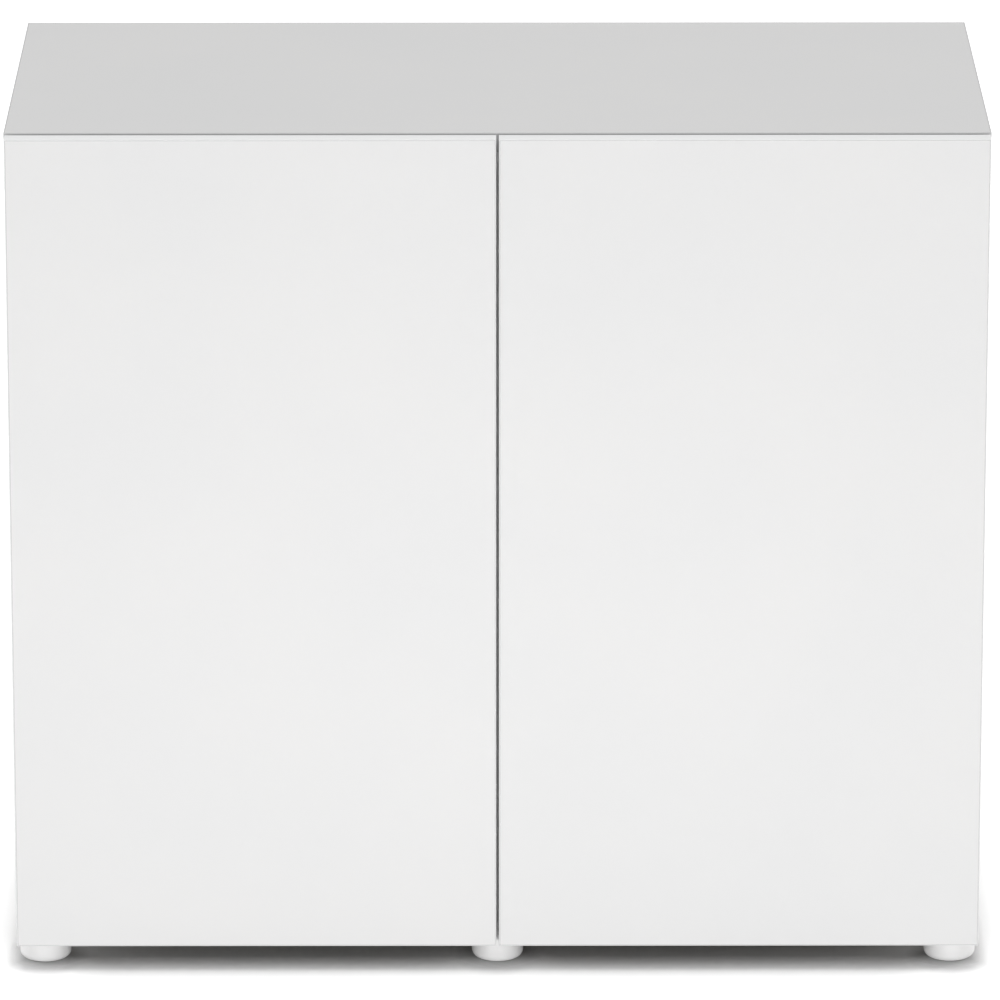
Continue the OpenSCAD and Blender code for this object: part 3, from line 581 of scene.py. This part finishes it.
eased_pieces = [
    (0.00035, nickel, "nickel", ["hinge_arms"]),
    (0.0003, nickel, "nickel", ["hinge_plates"]),
    (0.00025, nickel, "nickel", ["left_hinge_cups", "right_hinge_cups"]),
    (0.0003, nickel, "nickel", ["shelf_pins", "left_magnet", "right_magnet"]),
    (0.0003, zinc, "zinc", ["cam_locks", "left_strike_plate", "right_strike_plate"]),
    (0.0005, dark_plastic, "black_plastic", ["latch_housings"]),
    (0.0006, dark_plastic, "black_plastic", ["left_plunger", "right_plunger"]),
    (0.0006, dark_plastic, "black_plastic", ["left_port_trim", "right_port_trim"]),
]
for width, material, slot, nodes in eased_pieces:
    for node in nodes:
        piece = eased(node, width, material)
        print(piece.name, len(piece.data.polygons), "faces")

# %% [markdown]
# ## Screws
# Every screw here has a cross recess, and no two stand at the same angle. Each could be cut by
# hand, but there are dozens of them. So one geometry tree makes a screw and sets a copy on each
# point. The points come from the construction: one for each solid of a screw node, at the middle
# of its head, with the way that the head faces. They are put in order, so that each screw gets
# the same turn on every run.


# %% Where the screws sit
def solids_of(node):
    """The corner points of each separate solid in a node."""
    work = merged(node)
    solids = []
    met = set()
    for start in work.verts:
        if start in met:
            continue
        met.add(start)
        queue = [start]
        points = []
        while queue:
            vert = queue.pop()
            points.append(vert.co.copy())
            for edge in vert.link_edges:
                other = edge.other_vert(vert)
                if other not in met:
                    met.add(other)
                    queue.append(other)
        solids.append(points)
    work.free()
    return solids


def head_of(points, axis):
    """The middle of the wide end of a screw along an axis, and the way that the head faces."""
    others = [i for i in range(3) if i != axis]
    middle = [(min(p[i] for p in points) + max(p[i] for p in points)) / 2 for i in range(3)]
    widest = max(points, key=lambda p: sum((p[i] - middle[i]) ** 2 for i in others))
    sign = 1 if widest[axis] > middle[axis] else -1
    at = Vector(middle)
    at[axis] = max(p[axis] for p in points) if sign > 0 else min(p[axis] for p in points)
    facing = Vector((0, 0, 0))
    facing[axis] = sign
    return at, facing


def heads_of(node, axis):
    """The heads of all screws in a node, in the order of their places."""
    heads = [head_of(points, axis) for points in solids_of(node)]
    return sorted(heads, key=lambda head: [round(value, 4) for value in head[0]])


along_x = 0
along_y = 1
back_heads = heads_of("back_screws", along_y)
print("back screws:", len(back_heads), "heads, the first at", [round(v, 4) for v in back_heads[0][0]])

# %% [markdown]
# ## A tree for screws
# A screw is known by a few sizes: its head, its shank, its length and its recess. They could be
# fixed numbers inside the tree, but then each kind of screw would need a tree of its own. As
# named inputs they make one tree serve them all. Small tools open a tree, close it, pick a value
# for each ring of points, and move the points of a blank.


# %% Tools for geometry trees
def new_tree(name, sockets):
    """A geometry tree with a Geometry output, and inputs by name and type."""
    tree = bpy.data.node_groups.new(name, "GeometryNodeTree")
    tree.interface.new_socket("Geometry", in_out="OUTPUT", socket_type="NodeSocketGeometry")
    for label, kind in sockets:
        tree.interface.new_socket(label, in_out="INPUT", socket_type="NodeSocket" + kind)
    add = node_adder(tree)
    return tree, add, add("NodeGroupInput").outputs


def end_tree(add, geometry, finish):
    """Makes real geometry of what the tree made, paints it and hands it out."""
    real = add("GeometryNodeRealizeInstances", {"Geometry": geometry}).outputs[0]
    painted = add("GeometryNodeSetMaterial", {"Geometry": real, "Material": finish}).outputs[0]
    add("NodeGroupOutput", {"Geometry": painted})


def scaled(add, value, factor):
    """A value times a factor, as an output socket."""
    return maths(add, "MULTIPLY", value, factor)


def picked(add, number, values):
    """The value with that number in a row of values, for each point."""
    choice = add("GeometryNodeIndexSwitch", {"Index": number}, data_type="FLOAT")
    while len(choice.index_switch_items) < len(values):
        choice.index_switch_items.new()
    for socket, value in zip(choice.inputs[1:], values):
        choice.id_data.links.new(value, socket)
    return choice.outputs[0]


def shaped(add, blank, x, y, z, turn=0.0):
    """A blank with its points moved to new places, and turned about Z."""
    spot = add("ShaderNodeCombineXYZ", {"X": x, "Y": y, "Z": z}).outputs[0]
    spot = add("ShaderNodeVectorRotate", {"Vector": spot, "Angle": turn}, rotation_type="Z_AXIS").outputs[0]
    return add("GeometryNodeSetPosition", {"Geometry": blank, "Position": spot}).outputs[0]


screw_tree, add, given = new_tree("cross_head_screw", [
    ("Geometry", "Geometry"), ("Head Width", "Float"), ("Foot Width", "Float"), ("Head Depth", "Float"),
    ("Shank Width", "Float"), ("Length", "Float"), ("Recess Width", "Float"), ("Seed", "Int"),
    ("Finish", "Material")])
print("a screw is given by", [socket.name for socket in given if socket.name])

# %% [markdown]
# ## Shank and head
# A countersunk head is narrow at its foot, and a pan head is as wide there as at its rim. Cones
# and cylinders could be stacked, but they would leave faces inside. So one round blank has five
# rings of points, and each ring moves to its own radius and height. That is one closed solid.

# %% Plain screw
ring_radii = [("Shank Width", 0.5), ("Shank Width", 0.5), ("Foot Width", 0.5), ("Head Width", 0.5),
              ("Head Width", 0.46)]
ring_heights = [("Length", -1), ("Head Depth", -1.05), ("Head Depth", -1), ("Head Depth", -0.12),
                ("Head Depth", 0)]
around = 32
bands = len(ring_radii) - 1
point = add("ShaderNodeSeparateXYZ", {0: add("GeometryNodeInputPosition").outputs[0]}).outputs
round_blank = add("GeometryNodeMeshCylinder", {"Vertices": around, "Side Segments": bands, "Radius": 1.0,
                                               "Depth": float(bands)}).outputs["Mesh"]
ring = maths(add, "ADD", point["Z"], bands / 2 + 0.5)
radius = picked(add, ring, [scaled(add, given[label], share) for label, share in ring_radii])
height = picked(add, ring, [scaled(add, given[label], share) for label, share in ring_heights])
ring_x = scaled(add, point["X"], radius)
ring_y = scaled(add, point["Y"], radius)
plain_screw = shaped(add, round_blank, ring_x, ring_y, height)
print("plain screw:", len(ring_radii), "rings of", around, "points")

# %% [markdown]
# ## Cross recess
# The recess is a cross whose arms taper downwards, as the driver does. Two crossed wedges could
# be cut one after the other. One blank needs one cut only: each quarter of it has three points,
# at the tip of an arm, in the nook and at the tip of the next arm, and is turned on from the last.

# %% Cut the recess
quarters = 4
quarter_points = 3
cross_points = quarters * quarter_points
cross_blank = add("GeometryNodeMeshCylinder", {"Vertices": cross_points, "Radius": 1.0, "Depth": 2.0})


def tapered(label, bottom, top):
    """A share of one of the screw's sizes, from the bottom of the blank to its top."""
    return scaled(add, given[label], ramp(add, point["Z"], -1, 1, bottom, top))


tip = tapered("Recess Width", 0.25, 0.583)
nook = tapered("Recess Width", 0.09, 0.13)
sunk = tapered("Head Depth", -0.75, 0.25)
number = add("GeometryNodeInputIndex").outputs[0]
in_quarter = maths(add, "MODULO", number, quarter_points)
quarter_turn = scaled(add, maths(add, "SUBTRACT", number, in_quarter), 2 * math.pi / cross_points)
cross_x = picked(add, in_quarter, [tip, nook, nook])
cross_y = picked(add, in_quarter, [nook, nook, tip])
recess = shaped(add, cross_blank.outputs["Mesh"], cross_x, cross_y, sunk, quarter_turn)
screw = add("GeometryNodeMeshBoolean", {"Mesh 1": plain_screw, "Mesh 2": recess}, operation="DIFFERENCE",
            solver="EXACT")
print("recess:", quarters, "quarters of", quarter_points, "points")

# %% [markdown]
# ## One screw on every point
# A screw is driven until it is tight, so its cross stops anywhere. Copies that all stood alike
# would look printed. So each copy first faces the way of its head, and is then turned about its
# own axis by a random angle of up to a quarter turn, from a seed that stays the same.

# %% Copies on the points
facing = add("GeometryNodeInputNamedAttribute", {"Name": "facing"}, data_type="FLOAT_VECTOR")
upright = add("FunctionNodeAlignRotationToVector", {"Vector": facing.outputs["Attribute"]}, axis="Z")
chance = add("FunctionNodeRandomValue", {2: 0.0, 3: math.pi / 2, "Seed": given["Seed"]}, data_type="FLOAT")
twist = add("FunctionNodeAxisAngleToRotation", {"Axis": (0, 0, 1), "Angle": chance.outputs[1]})
driven = add("FunctionNodeRotateRotation", {"Rotation": upright.outputs[0], "Rotate By": twist.outputs[0]},
             rotation_space="LOCAL")
copies = add("GeometryNodeInstanceOnPoints", {"Points": given["Geometry"], "Instance": screw.outputs["Mesh"],
                                              "Rotation": driven.outputs[0]})
end_tree(add, copies.outputs[0], given["Finish"])
print("screw tree:", len(screw_tree.nodes), "nodes")

# %% [markdown]
# ## Setting the screws
# A modifier runs the tree on the points of one node at a time. Its inputs are set by the
# socket's identifier before anything is evaluated. It could stay on the object, but the export
# wants plain meshes. So the result is taken as one, and the modifier goes with its draft object.


# %% Set the screws
def run_tree(tree, mesh, values):
    """The plain mesh that a tree makes of a mesh, with its inputs given by name."""
    draft = bpy.data.objects.new("draft", mesh)
    scene.collection.objects.link(draft)
    modifier = draft.modifiers.new(tree.name, "NODES")
    modifier.node_group = tree
    for item in tree.interface.items_tree:
        if item.in_out == "INPUT" and item.name in values:
            modifier[item.identifier] = values[item.name]
    result = shown_mesh(draft)
    bpy.data.objects.remove(draft)
    return result


def set_screws(node, axis, sizes, seed):
    """All screws of a node, whose heads face along an axis."""
    heads = heads_of(node, axis)
    points = bpy.data.meshes.new(node + "_points")
    points.from_pydata([at for at, facing in heads], [], [])
    ways = points.attributes.new("facing", "FLOAT_VECTOR", "POINT")
    for item, (at, facing) in zip(ways.data, heads):
        item.vector = facing
    mesh = run_tree(screw_tree, points, {**sizes, "Seed": seed, "Finish": zinc})
    soften(mesh)
    return place(node + "_crossed", node, mesh, zinc)


def countersunk(d, length):
    """Sizes of a countersunk screw, in metres from millimetres."""
    return {"Head Width": 0.002 * d, "Foot Width": 0.001 * d, "Head Depth": 0.0005 * d,
            "Shank Width": 0.001 * d, "Length": 0.001 * length, "Recess Width": 0.001 * d}


pan_head = {"Head Width": 0.0085, "Foot Width": 0.0085, "Head Depth": 0.002, "Shank Width": 0.005,
            "Length": 0.0094, "Recess Width": 0.005}
screw_sets = [
    ("back_screws", along_y, countersunk(3, 24), 1),
    ("plate_screws", along_x, countersunk(5, 13), 2),
    ("arm_screws", along_x, pan_head, 3),
    ("latch_screws", along_x, countersunk(3, 8), 4),
    ("left_cup_screws", along_y, countersunk(3.5, 14), 5),
    ("right_cup_screws", along_y, countersunk(3.5, 14), 6),
    ("left_strike_screw", along_y, countersunk(3, 8), 7),
    ("right_strike_screw", along_y, countersunk(3, 8), 8),
]
for row in screw_sets:
    piece = set_screws(*row)
    print(piece.name, len(piece.data.polygons), "faces")

# %% [markdown]
# ## Windings: foot threads and latch springs
# A thread and a spring are the same idea, a profile that climbs round an axis. The Screw
# modifier could sweep one, but a spiral curve with a small round profile makes both from sizes
# with names. On a foot the ridge is sunk half into the stud's core, so that only its crest
# stands out.

# %% The winding tree
steps_a_turn = 28
winding_tree, add, given = new_tree("winding", [
    ("Geometry", "Geometry"), ("Radius", "Float"), ("Wire", "Float"), ("Length", "Float"),
    ("Turns", "Float"), ("Sides", "Int"), ("Finish", "Material")])
path = add("GeometryNodeCurveSpiral", {"Resolution": steps_a_turn, "Rotations": given["Turns"],
                                       "Start Radius": given["Radius"], "End Radius": given["Radius"],
                                       "Height": given["Length"]})
half_wire = scaled(add, given["Wire"], 0.5)
profile = add("GeometryNodeCurvePrimitiveCircle", {"Resolution": given["Sides"], "Radius": half_wire},
              mode="RADIUS")
tube = add("GeometryNodeCurveToMesh", {"Curve": path.outputs[0], "Profile Curve": profile.outputs[0],
                                       "Fill Caps": True})
end_tree(add, tube.outputs[0], given["Finish"])


def winding(radius, wire, length, turns, sides, material):
    """A winding that climbs from the origin along Z."""
    return run_tree(winding_tree, bpy.data.meshes.new("winding_start"),
                    {"Radius": radius, "Wire": wire, "Length": length, "Turns": turns, "Sides": sides,
                     "Finish": material})


ridge = winding(radius=0.00455, wire=0.0009, length=0.0125, turns=8.3, sides=6, material=foot_plastic)
print("foot thread:", len(ridge.polygons), "faces")

# %% [markdown]
# ## Feet
# Three low white feet show under the front, with their lower edge well rounded. A bevelled
# cylinder would come close, but a round piece is turned from one outline, and Spin does the
# same. The thread joins it as a second shell. The six feet are the same mesh in six places,
# each on a body of its own, because each can be screwed out by itself.


# %% Turned feet
def foot_outline(radius=0.024, height=0.024, edge=0.007, core=0.0044, top=0.038,
                 rim=0.0006, lead=0.0008, bends=10):
    """Radius and height of each corner, from the middle of the sole to the tip of the stud."""
    quarter = [math.radians(90) * i / bends for i in range(bends + 1)]
    bend = [(radius - edge + edge * math.sin(a), edge - edge * math.cos(a)) for a in quarter]
    return [(0, 0)] + bend + [(radius, height - rim), (radius - rim, height), (core, height),
                              (core, top - lead), (core - lead, top), (0, top)]


def turned(outline, steps=72):
    """An outline of radius and height, turned once round Z into a closed shell."""
    work = bmesh.new()
    verts = [work.verts.new((r, 0, z)) for r, z in outline]
    edges = [work.edges.new(pair) for pair in zip(verts, verts[1:])]
    bmesh.ops.spin(work, geom=verts + edges, axis=(0, 0, 1), cent=(0, 0, 0), angle=2 * math.pi, steps=steps)
    bmesh.ops.remove_doubles(work, verts=work.verts, dist=merge_gap)
    bmesh.ops.recalc_face_normals(work, faces=work.faces)
    return work


thread_start = 0.0248
ridge.transform(Matrix.Translation((0, 0, thread_start)))
for node in feet:
    work = turned(foot_outline())
    work.from_mesh(ridge)
    mesh = bpy.data.meshes.new(node + "_turned")
    work.to_mesh(mesh)
    work.free()
    spot = foot_spot(node)
    mesh.transform(Matrix.Translation(spot))
    soften(mesh)
    piece = place(node + "_turned", node, mesh, foot_plastic)
    print(piece.name, "at", [round(v, 4) for v in spot])

# %% [markdown]
# ## Latch springs
# A spring sits behind each plunger and gets shorter as the door is pressed. It could be drawn
# once for each pose, but one model has to serve them all. Here it is wound once, at its length
# at rest, and rides on the body of its node.

# %% Wound latch springs
wire = 0.001
for side in ["left", "right"]:
    node = side + "_latch_spring"
    low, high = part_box(node)
    middle_x = (low.x + high.x) / 2
    middle_z = (low.z + high.z) / 2
    length = high.y - low.y
    coil_radius = (high.x - low.x) / 2 - wire / 2
    mesh = winding(coil_radius, wire, length - wire, turns=8, sides=8, material=nickel)
    stand = Matrix.Translation((middle_x, low.y + wire / 2, middle_z))
    mesh.transform(stand @ Matrix.Rotation(math.radians(-90), 4, "X"))
    soften(mesh)
    piece = place(node + "_wound", node, mesh, nickel)
    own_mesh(piece)
    print(piece.name, "is", round(1000 * length, 1), "mm long")
